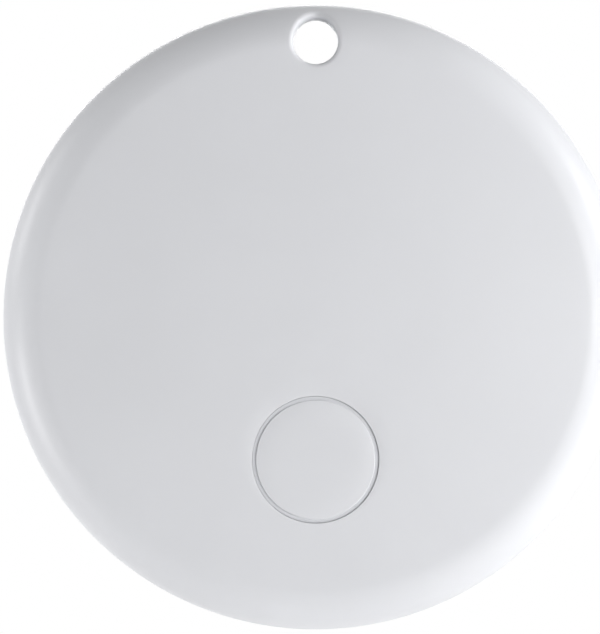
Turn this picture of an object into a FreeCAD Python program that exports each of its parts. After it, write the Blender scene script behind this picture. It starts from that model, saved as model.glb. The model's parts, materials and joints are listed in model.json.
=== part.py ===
import FreeCAD, Part
import math
import os
from FreeCAD import Vector

# A round Bluetooth tracker tag with a cord hole, a flush button and a coin-slot battery cover.
# Lengths are in millimetres and angles in degrees.
#
# The tag is drawn lying on its back: the disc's axis is Z, its rear face lies at height 0, its
# front face is up, and the cord hole is towards +Y. Each piece is then stood up by in_place(), with
# its front to -Y, its cord hole on top, and the middle of the cord hole at the origin.

# ---- Driving dimensions -------------------------------------------------------------------------

# Case outline
disc_radius = 19.0
wall = 1.1
face_edge_tilt = 6.5         # slope of the domed front face where the rim starts to turn over
front_rim_radius = 2.8
rear_rim_radius = 3.6
parting_chamfer = 0.14       # the fine V line where the two shells meet
rib_root = 0.4               # how far a rib or boss is rooted in the wall that carries it

# Cord hole
cord_hole_radius = 1.36
cord_hole_inset = 2.28       # from the rim to the middle of the hole
cord_hole_mouth = 0.38       # rounding of both ends
cord_boss_wall = 0.8

# Joint between the shells
lip_height = 0.7
lip_thickness = 0.7
lip_root = 1.2
lip_gap = 0.1
snap_reach = 0.22            # how far a snap bead stands out of the lip
snap_half_height = 0.2
snap_play = 0.06
snap_count = 6
snap_width = 18.0
rear_rib_count = 6
rear_rib_width = 0.7
rear_rib_height = 1.5

# Battery cover, a bayonet fit
cover_recess = 0.1           # its outer face lies this far below the rear face
cover_flange_cover = 0.1     # how far the flange reaches past the space for the lugs
cover_flange_thickness = 1.0
cover_edge = 0.15            # chamfer round the cover's face
cover_plate_thickness = 1.2
cover_side_gap = 0.2
slide_gap = 0.05             # between faces that turn on each other
hub_side_gap = 0.45          # between the cell and the hub ring round it
hub_thickness = 0.9
hub_gap = 0.15
lug_reach = 0.85
lug_thickness = 0.6
lug_width = 24.0
lug_count = 3
lug_play = 2.0               # how much wider than a lug its notch is, on each side
lug_headroom = 0.2
ledge_thickness = 0.7
chamber_gap = 0.15
roof_thickness = 0.7
well_outer_wall = 0.85
stop_width = 4.0
stop_play = 1.0
opening_turn = 30.0
coin_slot_length = 13.0
coin_slot_width = 1.8
coin_slot_depth = 0.6
seal_width = 0.5             # of the square-cut ring, both ways
seal_corner = 0.1
seal_play = 0.03
mark_radius = 0.3
mark_depth = 0.15

# Coin cell, size 2032
cell_radius = 10.0
cell_height = 3.2
cell_play = 0.05
cell_side_gap = 0.3
well_wall = 0.9
can_wall = 0.25
can_corner = 0.35
can_lip_corner = 0.15
cell_cap_inset = 1.15        # from the can's side to the cap's edge
cell_cap_rise = 0.2          # how far the cap stands above the rim of the can
cell_gasket_wall = 0.3
cathode_side_gap = 0.75
cathode_height = 1.4
separator_thickness = 0.1
lithium_side_gap = 0.2

# Circuit board
contact_room = 0.5           # between the cell and the board
board_thickness = 0.6
board_edge_gap = 0.45
board_play = 0.05
stake_inset = 1.7            # from the board's edge
stake_angles = (20.0, 160.0, 270.0)
stake_radius = 0.55
stake_gap = 0.1
stake_head_radius = 0.9
stake_head_height = 0.35
standoff_radius = 1.2
standoff_rib = 0.6
boss_gap = 0.3

# Sounder
sounder_offset = 5.0         # above the disc's centre
sounder_room = 1.15          # from the board to the sounder's seat
sounder_radius = 7.0
sounder_plate_thickness = 0.15
ceramic_radius = 5.0
ceramic_thickness = 0.15
tape_width = 0.8
tape_thickness = 0.1
seat_wall = 1.2
seat_edge = 0.4
seat_rise = 0.07

# Button and its switch
button_offset = 8.65         # below the disc's centre
button_radius = 3.66
button_gap = 0.1
button_edge = 0.08
button_plate = 0.9
button_skirt = 0.8
button_flange_reach = 0.62
button_flange_thickness = 0.35
button_headroom = 0.1
button_travel = 0.25
key_width = 1.0
key_reach = 0.6
key_gap = 0.12
collar_gap = 0.2
collar_wall = 0.6
collar_depth = 0.3
pad_gap = 0.05
nub_radius = 0.8
nub_height = 0.15
switch_length = 3.2
switch_width = 2.6
switch_floor = 0.2
switch_height = 0.8
switch_pocket_radius = 1.05
frame_thickness = 0.12
frame_leg_width = 1.4
frame_leg_clear = 0.15
dome_radius = 0.95
dome_top_radius = 0.5
dome_rise = 0.17
dome_thickness = 0.08
plunger_flange_radius = 0.9
plunger_flange_thickness = 0.1
plunger_radius = 0.5
plunger_rise = 0.23
plunger_gap = 0.03

# Contacts
strip_thickness = 0.12
strip_bend = 0.2
contact_touch = 0.02
negative_width = 4.0
negative_length = 7.0
positive_width = 3.0
positive_foot = 1.6
positive_floor_gap = 0.15    # between the contact's tip and the roof over the lugs
positive_slot_gap = 0.4
sounder_contact_width = 0.9
sounder_contact_length = 2.2

# Small parts on the board: length, width, height. Their places follow further down.
chip_size = (5.0, 5.0, 0.55)
main_crystal_size = (2.0, 1.6, 0.45)
clock_crystal_size = (1.5, 3.2, 0.6)
antenna_size = (7.0, 2.0, 0.7)
driver_size = (2.0, 2.0, 0.5)
inductor_size = (2.5, 2.0, 0.9)
capacitor_size = (1.0, 0.5, 0.5)
resistor_size = (1.0, 0.5, 0.35)
end_cap_length = 0.22
small_part_gap = 1.0         # from a chip's side to the middle of the small parts beside it
small_part_pitch = 1.3
chip_inset = 7.2             # from the board's edge
chip_angle = -26.6
driver_inset = 5.1
driver_angle = 222.0
antenna_inset = 3.0
antenna_angle = 203.0
crystal_gap = 0.9
test_pad_side = 0.9
test_pad_thickness = 0.05
test_pad_count = 5
test_pad_step = 7.0

# ---- Sizes that follow ---------------------------------------------------------------------------

cord_hole_offset = disc_radius - cord_hole_inset
cord_boss_radius = cord_hole_radius + cord_boss_wall

hub_inner = cell_radius + hub_side_gap
hub_radius = hub_inner + hub_thickness
cell_cap_radius = cell_radius - cell_cap_inset
cathode_radius = cell_radius - can_wall - cathode_side_gap

flange_top = cover_recess + cover_flange_thickness
plate_top = cover_recess + cover_plate_thickness
ledge_bottom = flange_top + slide_gap
ledge_top = ledge_bottom + ledge_thickness
lug_bottom = ledge_top + slide_gap
lug_top = lug_bottom + lug_thickness
chamber_top = lug_top + lug_headroom
roof_top = chamber_top + roof_thickness
lug_radius = hub_radius + lug_reach
ledge_radius = hub_radius + hub_gap
chamber_radius = lug_radius + chamber_gap
cover_flange_radius = chamber_radius + cover_flange_cover
recess_radius = cover_flange_radius + cover_side_gap
well_radius = cell_radius + cell_side_gap
well_outer_radius = chamber_radius + well_outer_wall

cell_bottom = plate_top + cell_play
cell_top = cell_bottom + cell_height
board_bottom = cell_top + contact_room
board_top = board_bottom + board_thickness
board_radius = disc_radius - wall - board_edge_gap
stake_ring = board_radius - stake_inset
well_top = board_bottom - board_play
parting_height = board_bottom - lip_height - 5 * board_play

sounder_seat = board_top + sounder_room
sounder_seat_radius = sounder_radius + seat_edge

# The front face is one wide dome, and the rim's round is tangent to it.
rim_start = disc_radius - front_rim_radius * (1 - math.sin(math.radians(face_edge_tilt)))
dome_face_radius = rim_start / math.sin(math.radians(face_edge_tilt))


def face_drop(radius):
    """How far the front face has fallen at a distance from the disc's axis."""
    return dome_face_radius - math.sqrt(dome_face_radius ** 2 - radius ** 2)


thickness = sounder_seat + seat_rise + wall + face_drop(sounder_offset + sounder_seat_radius)
front_rim_height = thickness - face_drop(rim_start) - front_rim_radius * math.cos(
    math.radians(face_edge_tilt))

button_hole_radius = button_radius + button_gap
button_flange_radius = button_radius + button_flange_reach
button_flange_top = (thickness - wall - button_headroom
                     - face_drop(button_offset + button_flange_radius))
button_flange_bottom = button_flange_top - button_flange_thickness
button_underside = thickness - face_drop(button_offset) - button_plate
collar_radius = button_flange_radius + collar_gap
collar_bottom = button_flange_bottom - collar_depth + button_travel

switch_top = board_top + switch_height
plunger_top = switch_top + frame_thickness + plunger_rise


# ---- Helpers ------------------------------------------------------------------------------------

def point(radius, height):
    """A point of a profile that is turned about the disc's axis."""
    return Vector(radius, 0, height)


def arc(radius, height, size, start, end):
    """A profile arc about a centre. Its angles are measured from straight up, outwards."""
    spots = []
    for angle in (start, (start + end) / 2, end):
        turn = math.radians(angle)
        spots.append(point(radius + size * math.sin(turn), height + size * math.cos(turn)))
    return Part.Arc(*spots).toShape()


def line(start, end):
    return Part.LineSegment(start, end).toShape()


def turned(edges):
    """The solid that a closed profile makes when it is turned about the disc's axis."""
    face = Part.Face(Part.Wire(edges))
    return face.revolve(Vector(0, 0, 0), Vector(0, 0, 1), 360)


def turned_corners(corners):
    """The same, for a profile of straight lines given by its (radius, height) corners."""
    spots = [point(radius, height) for radius, height in corners]
    return turned(Part.makePolygon(spots + spots[:1]).Edges)


def rod(radius, low, high, x=0.0, y=0.0):
    return Part.makeCylinder(radius, high - low, Vector(x, y, low))


def tube(inner, outer, low, high, x=0.0, y=0.0):
    return rod(outer, low, high, x, y).cut(rod(inner, low, high, x, y))


def block(length, width, low, high, x=0.0, y=0.0):
    """A box about a centre, between two heights."""
    return Part.makeBox(length, width, high - low, Vector(x - length / 2, y - width / 2, low))


def spun(shape, angle):
    """A copy turned about the disc's axis."""
    copy = shape.copy()
    copy.rotate(Vector(0, 0, 0), Vector(0, 0, 1), angle)
    return copy


def moved(shape, x, y, z=0.0):
    copy = shape.copy()
    copy.translate(Vector(x, y, z))
    return copy


def sector(corners, middle, width):
    """Part of a turned shape, given by the angle at its middle and the angle that it spans."""
    spots = [point(radius, height) for radius, height in corners]
    face = Part.Face(Part.makePolygon(spots + spots[:1]))
    piece = face.revolve(Vector(0, 0, 0), Vector(0, 0, 1), width)
    return spun(piece, middle - width / 2)


def ring_sector(inner, outer, low, high, middle, width):
    return sector([(inner, low), (outer, low), (outer, high), (inner, high)], middle, width)


def joined(shapes):
    """One solid from several that run into each other."""
    return shapes[0].multiFuse(shapes[1:]).removeSplitter()


def on_circle(radius, angle):
    turn = math.radians(angle)
    return radius * math.cos(turn), radius * math.sin(turn)


def hole_edges(shape, radius, y, low, high):
    """The edges of a hole's mouth: those on its cylinder, between two heights."""
    found = []
    for edge in shape.Edges:
        if edge.Degenerated or edge.BoundBox.ZMin < low or edge.BoundBox.ZMax > high:
            continue
        spots = edge.discretize(5)
        level = math.hypot(spots[0].x - spots[1].x, spots[0].y - spots[1].y) > 0.001
        if level and all(abs(math.hypot(p.x, p.y - y) - radius) < 0.001 for p in spots):
            found.append(edge)
    return found


def bent_strip(spots, thickness_out, width):
    """Sheet metal bent along a line of points in the XZ plane, centred on Y = 0."""
    path = Part.makePolygon([Vector(x, 0, z) for x, z in spots])
    face = path.makeOffset2D(thickness_out, join=2, fill=True, openResult=True)
    strip = face.extrude(Vector(0, width, 0))
    return moved(strip, 0, -width / 2)


def disc_body(inset):
    """The whole disc, drawn in all over by the same amount."""
    rim = disc_radius - front_rim_radius
    rear_rim = disc_radius - rear_rim_radius
    edges = [
        line(point(0, inset), point(rear_rim, inset)),
        arc(rear_rim, rear_rim_radius, rear_rim_radius - inset, 180, 90),
        line(point(disc_radius - inset, rear_rim_radius), point(disc_radius - inset, front_rim_height)),
        arc(rim, front_rim_height, front_rim_radius - inset, 90, face_edge_tilt),
        arc(0, thickness - dome_face_radius, dome_face_radius - inset, face_edge_tilt, 0),
        line(point(0, thickness - inset), point(0, inset)),
    ]
    return turned(edges)


def in_place(shape):
    """Stand a piece up, with its front to -Y and the middle of the cord hole at the origin."""
    stood = shape.copy()
    stood.rotate(Vector(0, 0, 0), Vector(1, 0, 0), 90)
    stood.translate(Vector(0, thickness / 2, -cord_hole_offset))
    return stood


# ---- Case ---------------------------------------------------------------------------------------

def parting_line():
    """The V-shaped ring that is cut from both shells where they meet."""
    return turned_corners([
        (disc_radius - parting_chamfer, parting_height),
        (disc_radius + parting_chamfer, parting_height - 2 * parting_chamfer),
        (disc_radius + parting_chamfer, parting_height + 2 * parting_chamfer),
    ])


def snap_profile(start, reach, half_height):
    """The blunt wedge of the snap beads, and of the groove that takes them."""
    middle = parting_height + lip_height / 2
    return [
        (start - lip_gap, middle - half_height),
        (start, middle - half_height),
        (start + reach, middle - half_height / 2),
        (start + reach, middle + half_height / 2),
        (start, middle + half_height),
        (start - lip_gap, middle + half_height),
    ]


def cord_boss(low, high):
    boss = rod(cord_boss_radius, low, high, 0, cord_hole_offset)
    return boss.common(disc_body(0))


def button_slots(gap):
    """The two keys of the button, or their slots when a gap is given."""
    reach = 2 * (button_flange_radius + key_reach + gap)
    return block(reach, key_width + 2 * gap, collar_bottom - gap, button_flange_top, 0, -button_offset)


def front_shell():
    skin = disc_body(0).cut(disc_body(wall))
    shell = skin.common(rod(disc_radius, parting_height, thickness))
    rooted = disc_body(wall - rib_root)

    # seat of the sounder and collar that guides the button
    seat_inner = sounder_seat_radius - seat_wall
    seat = tube(seat_inner, sounder_seat_radius, sounder_seat, thickness, 0, sounder_offset)
    collar = tube(collar_radius, collar_radius + collar_wall, collar_bottom, thickness,
                  0, -button_offset)
    collar = collar.cut(button_slots(key_gap))
    carried = [seat, collar]

    # standoffs for the board, each with a rib to the rim and a pin that is melted over
    pins = []
    for angle in stake_angles:
        x, y = on_circle(stake_ring, angle)
        carried.append(rod(standoff_radius, board_top, thickness, x, y))
        rib = ring_block(stake_ring, disc_radius, standoff_rib, board_top, thickness, angle)
        carried.append(rib)
        pins.append(stake(x, y))
    carried = [feature.common(rooted) for feature in carried]

    shell = joined([shell, cord_boss(parting_height, thickness)] + carried + pins)

    # groove for the snap beads
    groove = snap_profile(disc_radius - wall, snap_reach - lip_gap + snap_play,
                          snap_half_height + snap_play)
    shell = shell.cut(turned_corners(groove))
    shell = shell.cut(parting_line())

    shell = shell.cut(rod(cord_hole_radius, 0, thickness, 0, cord_hole_offset))
    mouth = hole_edges(shell, cord_hole_radius, cord_hole_offset, parting_height + lip_height, thickness)
    shell = shell.makeFillet(cord_hole_mouth, mouth)
    shell = shell.cut(rod(button_hole_radius, board_top, thickness, 0, -button_offset))
    mouth = hole_edges(shell, button_hole_radius, -button_offset, button_underside, thickness)
    return shell.makeFillet(button_edge, mouth)


def ring_block(inner, outer, width, low, high, angle):
    """A straight rib that runs outwards from the disc's axis."""
    rib = block(outer - inner, width, low, high, (inner + outer) / 2, 0)
    return spun(rib, angle)


def stake(x, y):
    """A pin through the board, with the melted head that holds it."""
    pin = rod(stake_radius, board_bottom - board_play, board_top, x, y)
    head = Part.makeCone(stake_radius, stake_head_radius, stake_head_height,
                         Vector(x, y, board_bottom - stake_head_height))
    return pin.fuse(head)


def battery_well():
    """The ring that takes the cover's lugs, and the wall round the cell."""
    well = tube(well_radius, well_outer_radius, 0, roof_top)
    well = well.fuse(tube(well_radius, well_radius + well_wall, chamber_top, well_top))
    well = well.cut(rod(recess_radius, 0, ledge_bottom))
    well = well.cut(rod(ledge_radius, ledge_bottom, chamber_top))
    well = well.cut(rod(chamber_radius, ledge_top, chamber_top))
    stops = []
    for number in range(lug_count):
        locked = 90 + number * 360 / lug_count
        notch = ring_sector(ledge_radius - hub_gap, chamber_radius, ledge_bottom, ledge_top,
                            locked - opening_turn, lug_width + 2 * lug_play)
        well = well.cut(notch)
        reach = lug_width / 2 + stop_play + stop_width / 2
        for middle in (locked + reach, locked - opening_turn - reach):
            stops.append(ring_sector(ledge_radius, chamber_radius + hub_gap, ledge_top, chamber_top,
                                     middle, stop_width))
    return joined([well] + stops)


def rear_shell():
    skin = disc_body(0).cut(disc_body(wall))
    shell = skin.common(rod(disc_radius, 0, parting_height))
    lip_outer = disc_radius - wall - lip_gap
    lip_inner = lip_outer - lip_thickness
    lip = tube(lip_inner, lip_outer, parting_height - lip_root, parting_height + lip_height)
    foot = tube(lip_inner, disc_radius - wall + rib_root, parting_height - lip_root, parting_height)
    lip = lip.fuse(foot)
    beads = []
    for number in range(snap_count):
        bead = snap_profile(lip_outer, snap_reach, snap_half_height)
        beads.append(sector(bead, (number + 0.5) * 360 / snap_count, snap_width))
    lip = joined([lip] + beads)
    lip = lip.cut(rod(cord_boss_radius + lip_gap, parting_height, thickness, 0, cord_hole_offset))

    ribs = []
    for number in range(rear_rib_count):
        angle = (number + 0.5) * 360 / rear_rib_count
        rib = ring_block(well_outer_radius - rib_root, disc_radius, rear_rib_width,
                         wall - rib_root, wall + rear_rib_height, angle)
        ribs.append(rib.common(disc_body(wall - rib_root)))

    shell = joined([shell, lip, cord_boss(0, parting_height)] + ribs)
    shell = shell.cut(rod(well_outer_radius, 0, thickness))
    shell = joined([shell, battery_well()])
    shell = shell.cut(parting_line())

    # the battery's side contact passes through the wall of the well
    slot = block(2 * well_wall, positive_width + positive_slot_gap, roof_top, well_top,
                 well_radius + well_wall / 2, 0)
    shell = shell.cut(slot)

    # marks for the cover's open and locked places
    for turn in (0, opening_turn):
        x, y = on_circle((recess_radius + disc_radius - rear_rim_radius) / 2, 270 - turn)
        shell = shell.cut(rod(mark_radius, 0, mark_depth, x, y))

    shell = shell.cut(rod(cord_hole_radius, 0, thickness, 0, cord_hole_offset))
    mouth = hole_edges(shell, cord_hole_radius, cord_hole_offset, -wall, rear_rim_radius)
    return shell.makeFillet(cord_hole_mouth, mouth)


# ---- Battery cover ------------------------------------------------------------------------------

seal_outer = recess_radius - seal_play
seal_inner = seal_outer - seal_width
seal_low = cover_recess + (cover_flange_thickness - seal_width) / 2
seal_high = seal_low + seal_width


def battery_cover():
    cover = rod(cover_flange_radius, cover_recess, flange_top)
    rim = [edge for edge in cover.Edges if edge.BoundBox.ZMax < cover_recess + slide_gap]
    cover = cover.makeChamfer(cover_edge, rim)
    hub = tube(hub_inner, hub_radius, cover_recess + rib_root, lug_top)
    pieces = [cover, hub, rod(hub_inner, flange_top - rib_root, plate_top)]
    for number in range(lug_count):
        middle = 90 + number * 360 / lug_count
        pieces.append(ring_sector(hub_radius - hub_thickness / 2, lug_radius, lug_bottom, lug_top,
                                  middle, lug_width))
    cover = joined(pieces)

    # groove for the seal
    cover = cover.cut(tube(seal_inner - seal_play, recess_radius,
                           seal_low - seal_play, seal_high + seal_play))

    # coin slot, with round ends
    slot_end = (coin_slot_length - coin_slot_width) / 2
    slot_floor = cover_recess + coin_slot_depth
    cover = cover.cut(block(2 * slot_end, coin_slot_width, 0, slot_floor))
    for x in (-slot_end, slot_end):
        cover = cover.cut(rod(coin_slot_width / 2, 0, slot_floor, x, 0))
    x, y = on_circle(hub_radius - mark_radius, 270)
    return cover.cut(rod(mark_radius, 0, cover_recess + mark_depth, x, y))


def cover_seal():
    return turned_corners([
        (seal_inner, seal_low),
        (seal_outer - seal_corner, seal_low),
        (seal_outer, seal_low + seal_corner),
        (seal_outer, seal_high - seal_corner),
        (seal_outer - seal_corner, seal_high),
        (seal_inner, seal_high),
    ])


# ---- Coin cell ----------------------------------------------------------------------------------

def cell_rim_height():
    return cell_top - cell_cap_rise


def cell_can():
    can = turned_corners([
        (0, cell_bottom),
        (cell_radius - can_corner, cell_bottom),
        (cell_radius, cell_bottom + can_corner),
        (cell_radius, cell_rim_height() - can_lip_corner),
        (cell_radius - can_lip_corner, cell_rim_height()),
        (0, cell_rim_height()),
    ])
    can = can.cut(rod(cell_radius - can_wall, cell_bottom + can_wall, cell_rim_height() - can_wall))
    return can.cut(rod(cell_cap_radius + cell_gasket_wall, cell_bottom + can_wall, cell_top))


def cell_gasket():
    collar = tube(cell_cap_radius, cell_cap_radius + cell_gasket_wall,
                  cell_rim_height() - 2 * can_wall, cell_rim_height())
    foot = tube(cell_cap_radius, cell_radius - can_wall,
                cell_rim_height() - 2 * can_wall, cell_rim_height() - can_wall)
    return joined([collar, foot])


def cell_cap():
    top = rod(cell_cap_radius, cell_top - can_wall, cell_top)
    edge = [edge for edge in top.Edges if edge.BoundBox.ZMin > cell_top - can_wall / 2]
    top = top.makeChamfer(can_wall / 2, edge)
    foot_top = cell_rim_height() - 2 * can_wall
    skirt = tube(cell_cap_radius - can_wall, cell_cap_radius, foot_top - can_wall, cell_top - can_wall)
    foot = tube(cell_cap_radius - can_wall, cell_radius - 2 * can_wall, foot_top - can_wall, foot_top)
    return joined([top, skirt, foot])


def cell_cathode():
    floor = cell_bottom + can_wall
    return rod(cathode_radius, floor, floor + cathode_height)


def cell_separator():
    floor = cell_bottom + can_wall + cathode_height
    return rod(cathode_radius, floor, floor + separator_thickness)


def cell_lithium():
    floor = cell_bottom + can_wall + cathode_height + separator_thickness
    return rod(cell_cap_radius - can_wall - lithium_side_gap, floor, cell_top - can_wall)


# ---- Button and switch --------------------------------------------------------------------------

def button_cap():
    body = rod(button_radius, button_flange_bottom, thickness, 0, -button_offset)
    body = body.common(disc_body(0))
    edge = hole_edges(body, button_radius, -button_offset, button_underside, thickness)
    body = body.makeFillet(button_edge, edge)
    flange = rod(button_flange_radius, button_flange_bottom, button_flange_top, 0, -button_offset)
    keys = button_slots(0).common(rod(disc_radius, button_flange_bottom, button_flange_top))
    cap = joined([body, flange, keys])
    inner = button_radius - button_skirt
    return cap.cut(rod(inner, button_flange_bottom, button_underside, 0, -button_offset))


def button_pad():
    """The soft pad in the cap, with the nub that presses the switch."""
    nub_bottom = plunger_top + pad_gap
    radius = button_radius - button_skirt - pad_gap
    pad = rod(radius, nub_bottom + nub_height, button_underside, 0, -button_offset)
    nub = rod(nub_radius, nub_bottom, button_underside, 0, -button_offset)
    return joined([pad, nub])


def switch_base():
    base = block(switch_length, switch_width, board_top, switch_top, 0, -button_offset)
    pocket = rod(switch_pocket_radius, board_top + switch_floor, switch_top, 0, -button_offset)
    return base.cut(pocket)


def switch_frame():
    """The steel cover, folded down over both ends of the base."""
    length = switch_length + 2 * frame_thickness
    plate = block(length, switch_width, switch_top, switch_top + frame_thickness, 0, -button_offset)
    legs = block(length, frame_leg_width, board_top + frame_leg_clear, switch_top, 0, -button_offset)
    legs = legs.cut(block(switch_length, switch_width, board_top, switch_top, 0, -button_offset))
    frame = joined([plate] + legs.Solids)
    hole = plunger_radius + plunger_gap
    return frame.cut(rod(hole, switch_top, switch_top + frame_thickness, 0, -button_offset))


def switch_dome():
    """The sprung steel dome that gives the click."""
    floor = board_top + switch_floor
    top = floor + dome_rise
    dome = turned_corners([
        (dome_radius - dome_thickness, floor),
        (dome_radius, floor),
        (dome_top_radius + dome_thickness, top),
        (0, top),
        (0, top - dome_thickness),
        (dome_top_radius, top - dome_thickness),
    ])
    return moved(dome, 0, -button_offset)


def switch_plunger():
    flange_high = switch_top - plunger_gap
    flange = rod(plunger_flange_radius, flange_high - plunger_flange_thickness, flange_high,
                 0, -button_offset)
    stem = rod(plunger_radius, flange_high - plunger_flange_thickness, plunger_top, 0, -button_offset)
    return joined([flange, stem])


# ---- Board and what is on it --------------------------------------------------------------------

def circuit_board():
    board = rod(board_radius, board_bottom, board_top)
    notch = cord_boss_radius + boss_gap
    board = board.cut(rod(notch, board_bottom, board_top, 0, cord_hole_offset))
    board = board.cut(block(2 * notch, board_radius, board_bottom, board_top,
                            0, cord_hole_offset + board_radius / 2))
    for angle in stake_angles:
        x, y = on_circle(stake_ring, angle)
        board = board.cut(rod(stake_radius + stake_gap, board_bottom, board_top, x, y))
    return board


def package(size, x, y, turn=0.0):
    """A component body that stands on the board."""
    length, width, height = size
    body = block(length, width, board_top, board_top + height)
    body.rotate(Vector(0, 0, 0), Vector(0, 0, 1), turn)
    return moved(body, x, y)


def lidded(size, x, y, turn=0.0):
    """A component with a lid that stands in a little from its base."""
    length, width, height = size
    step = height / 5
    lid = block(length - step, width - step, board_top + height / 2, board_top + height)
    body = joined([block(length, width, board_top, board_top + height / 2), lid])
    body.rotate(Vector(0, 0, 0), Vector(0, 0, 1), turn)
    return moved(body, x, y)


def capped_chip(size, x, y, turn=0.0):
    """A two-ended chip: its metal ends stand out a little from its middle."""
    length, width, height = size
    step = height / 10
    ends = block(length, width, board_top, board_top + height)
    waist = length - 2 * end_cap_length
    ends = ends.cut(block(waist, width, board_top + height - step, board_top + height))
    ends.rotate(Vector(0, 0, 0), Vector(0, 0, 1), turn)
    return moved(ends, x, y)


def chip_group(size, places):
    return Part.makeCompound([capped_chip(size, x, y, turn) for x, y, turn in places])


# The chip's group and the sounder driver's group each lie a set way in from the board's edge.
chip_x, chip_y = on_circle(board_radius - chip_inset, chip_angle)
driver_x, driver_y = on_circle(board_radius - driver_inset, driver_angle)
antenna_x, antenna_y = on_circle(board_radius - antenna_inset, antenna_angle)

chip_side = chip_size[0] / 2 + small_part_gap
chip_end = chip_size[1] / 2 + small_part_gap
capacitor_places = [(chip_x + small_part_pitch * n, chip_y + chip_end, 90) for n in (-1, 0, 1)]
capacitor_places += [(chip_x + chip_side, chip_y + small_part_pitch * n, 0) for n in (-1, 0)]
driver_side = driver_size[0] / 2 + small_part_gap
capacitor_places += [(driver_x + driver_side, driver_y + small_part_pitch * n, 0) for n in (-1, 0, 1)]
resistor_places = [(driver_x + small_part_pitch * n, driver_y - driver_side, 90) for n in (-2, -1, 0)]
corner_y = chip_y + chip_end
resistor_places += [(chip_x - chip_side, corner_y + small_part_pitch * n, 0) for n in (0, 1, 2)]


def test_pads():
    pads = []
    for number in range(test_pad_count):
        angle = 225 + test_pad_step * (number - (test_pad_count - 1) / 2)
        pad = block(test_pad_side, test_pad_side, board_bottom - test_pad_thickness, board_bottom,
                    stake_ring, 0)
        pads.append(spun(pad, angle))
    return Part.makeCompound(pads)


# ---- Sounder ------------------------------------------------------------------------------------

tape_bottom = sounder_seat - tape_thickness
plate_bottom = tape_bottom - sounder_plate_thickness
ceramic_bottom = plate_bottom - ceramic_thickness


def piezo_tape():
    return tube(sounder_radius - tape_width, sounder_radius, tape_bottom, sounder_seat, 0, sounder_offset)


def piezo_plate():
    return rod(sounder_radius, plate_bottom, tape_bottom, 0, sounder_offset)


def piezo_ceramic():
    return rod(ceramic_radius, ceramic_bottom, plate_bottom, 0, sounder_offset)


def sounder_contact(top, x, y):
    """A sprung finger that stands on the board and presses on the sounder."""
    reach = sounder_contact_length
    lift = top - contact_touch
    spots = [
        (0, board_top),
        (reach / 2, board_top),
        (reach * 0.6, (board_top + lift) / 2),
        (reach * 0.75, lift - strip_thickness),
        (reach, lift - strip_thickness),
    ]
    return moved(bent_strip(spots, strip_thickness, sounder_contact_width), x, y)


def sounder_contacts():
    to_ceramic = sounder_contact(ceramic_bottom, -sounder_contact_length, sounder_offset)
    ring_middle = (ceramic_radius + sounder_radius) / 2
    to_plate = sounder_contact(plate_bottom, ring_middle - sounder_contact_length, sounder_offset)
    return Part.makeCompound([to_ceramic, to_plate])


# ---- Battery contacts ---------------------------------------------------------------------------

def negative_contact():
    """A leaf spring under the board that presses on the cell's cap."""
    low = cell_top + contact_touch
    under = board_bottom - strip_thickness
    half = negative_length / 2
    spots = [(-half, under), (-half / 2, under), (half / 2, low), (half * 0.8, low), (half, low + strip_bend)]
    return bent_strip(spots, strip_thickness, negative_width)


def positive_contact():
    """A side spring that hangs from the board and presses on the wall of the can."""
    under = board_bottom - strip_thickness
    tip = roof_top + positive_floor_gap
    side = cell_radius + contact_touch
    rise = cell_side_gap
    spots = [
        (side + rise + positive_foot, under),
        (side + rise, under),
        (side, (under + tip) / 2),
        (side + rise, tip),
    ]
    return bent_strip(spots, strip_thickness, positive_width)


# ---- Export -------------------------------------------------------------------------------------

def tag_parts():
    main_crystal_y = chip_y - chip_size[1] / 2 - crystal_gap - main_crystal_size[1] / 2
    clock_crystal_x = chip_x + chip_side + capacitor_size[0] / 2 + crystal_gap
    inductor_y = driver_y + driver_side + crystal_gap + inductor_size[1]
    return {
        "front_shell": front_shell(),
        "rear_shell": rear_shell(),
        "battery_cover": battery_cover(),
        "cover_seal": cover_seal(),
        "cell_can": cell_can(),
        "cell_gasket": cell_gasket(),
        "cell_cap": cell_cap(),
        "cell_cathode": cell_cathode(),
        "cell_separator": cell_separator(),
        "cell_lithium": cell_lithium(),
        "button_cap": button_cap(),
        "button_pad": button_pad(),
        "switch_base": switch_base(),
        "switch_frame": switch_frame(),
        "switch_dome": switch_dome(),
        "switch_plunger": switch_plunger(),
        "circuit_board": circuit_board(),
        "bluetooth_chip": package(chip_size, chip_x, chip_y),
        "main_crystal": lidded(main_crystal_size, chip_x, main_crystal_y),
        "clock_crystal": lidded(clock_crystal_size, clock_crystal_x, chip_y + small_part_pitch),
        "chip_antenna": package(antenna_size, antenna_x, antenna_y, antenna_angle - 90),
        "sounder_driver": package(driver_size, driver_x, driver_y),
        "boost_inductor": lidded(inductor_size, driver_x, inductor_y),
        "chip_capacitors": chip_group(capacitor_size, capacitor_places),
        "chip_resistors": chip_group(resistor_size, resistor_places),
        "test_pads": test_pads(),
        "piezo_tape": piezo_tape(),
        "piezo_plate": piezo_plate(),
        "piezo_ceramic": piezo_ceramic(),
        "sounder_contacts": sounder_contacts(),
        "negative_contact": negative_contact(),
        "positive_contact": positive_contact(),
    }


os.makedirs("parts", exist_ok=True)
for name, shape in tag_parts().items():
    placed = in_place(shape)
    placed.exportStep("parts/" + name + ".step")
    print(name, placed.isValid(), len(placed.Solids), "volume", round(placed.Volume, 3))
print("thickness", round(thickness, 3), "parting", round(parting_height, 3))
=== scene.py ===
# %% [markdown]
# # A round tracker tag
# A tag like this is two shells of moulded plastic with a coin cell, a circuit board, a sounder and one
# soft-touch button inside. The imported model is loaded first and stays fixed: it says where every piece
# sits. The shells, the battery cover and the button are then modelled again with fine, smooth surfaces,
# because their soft highlights show every facet, and all that is inside gets a finish of its own.

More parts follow.
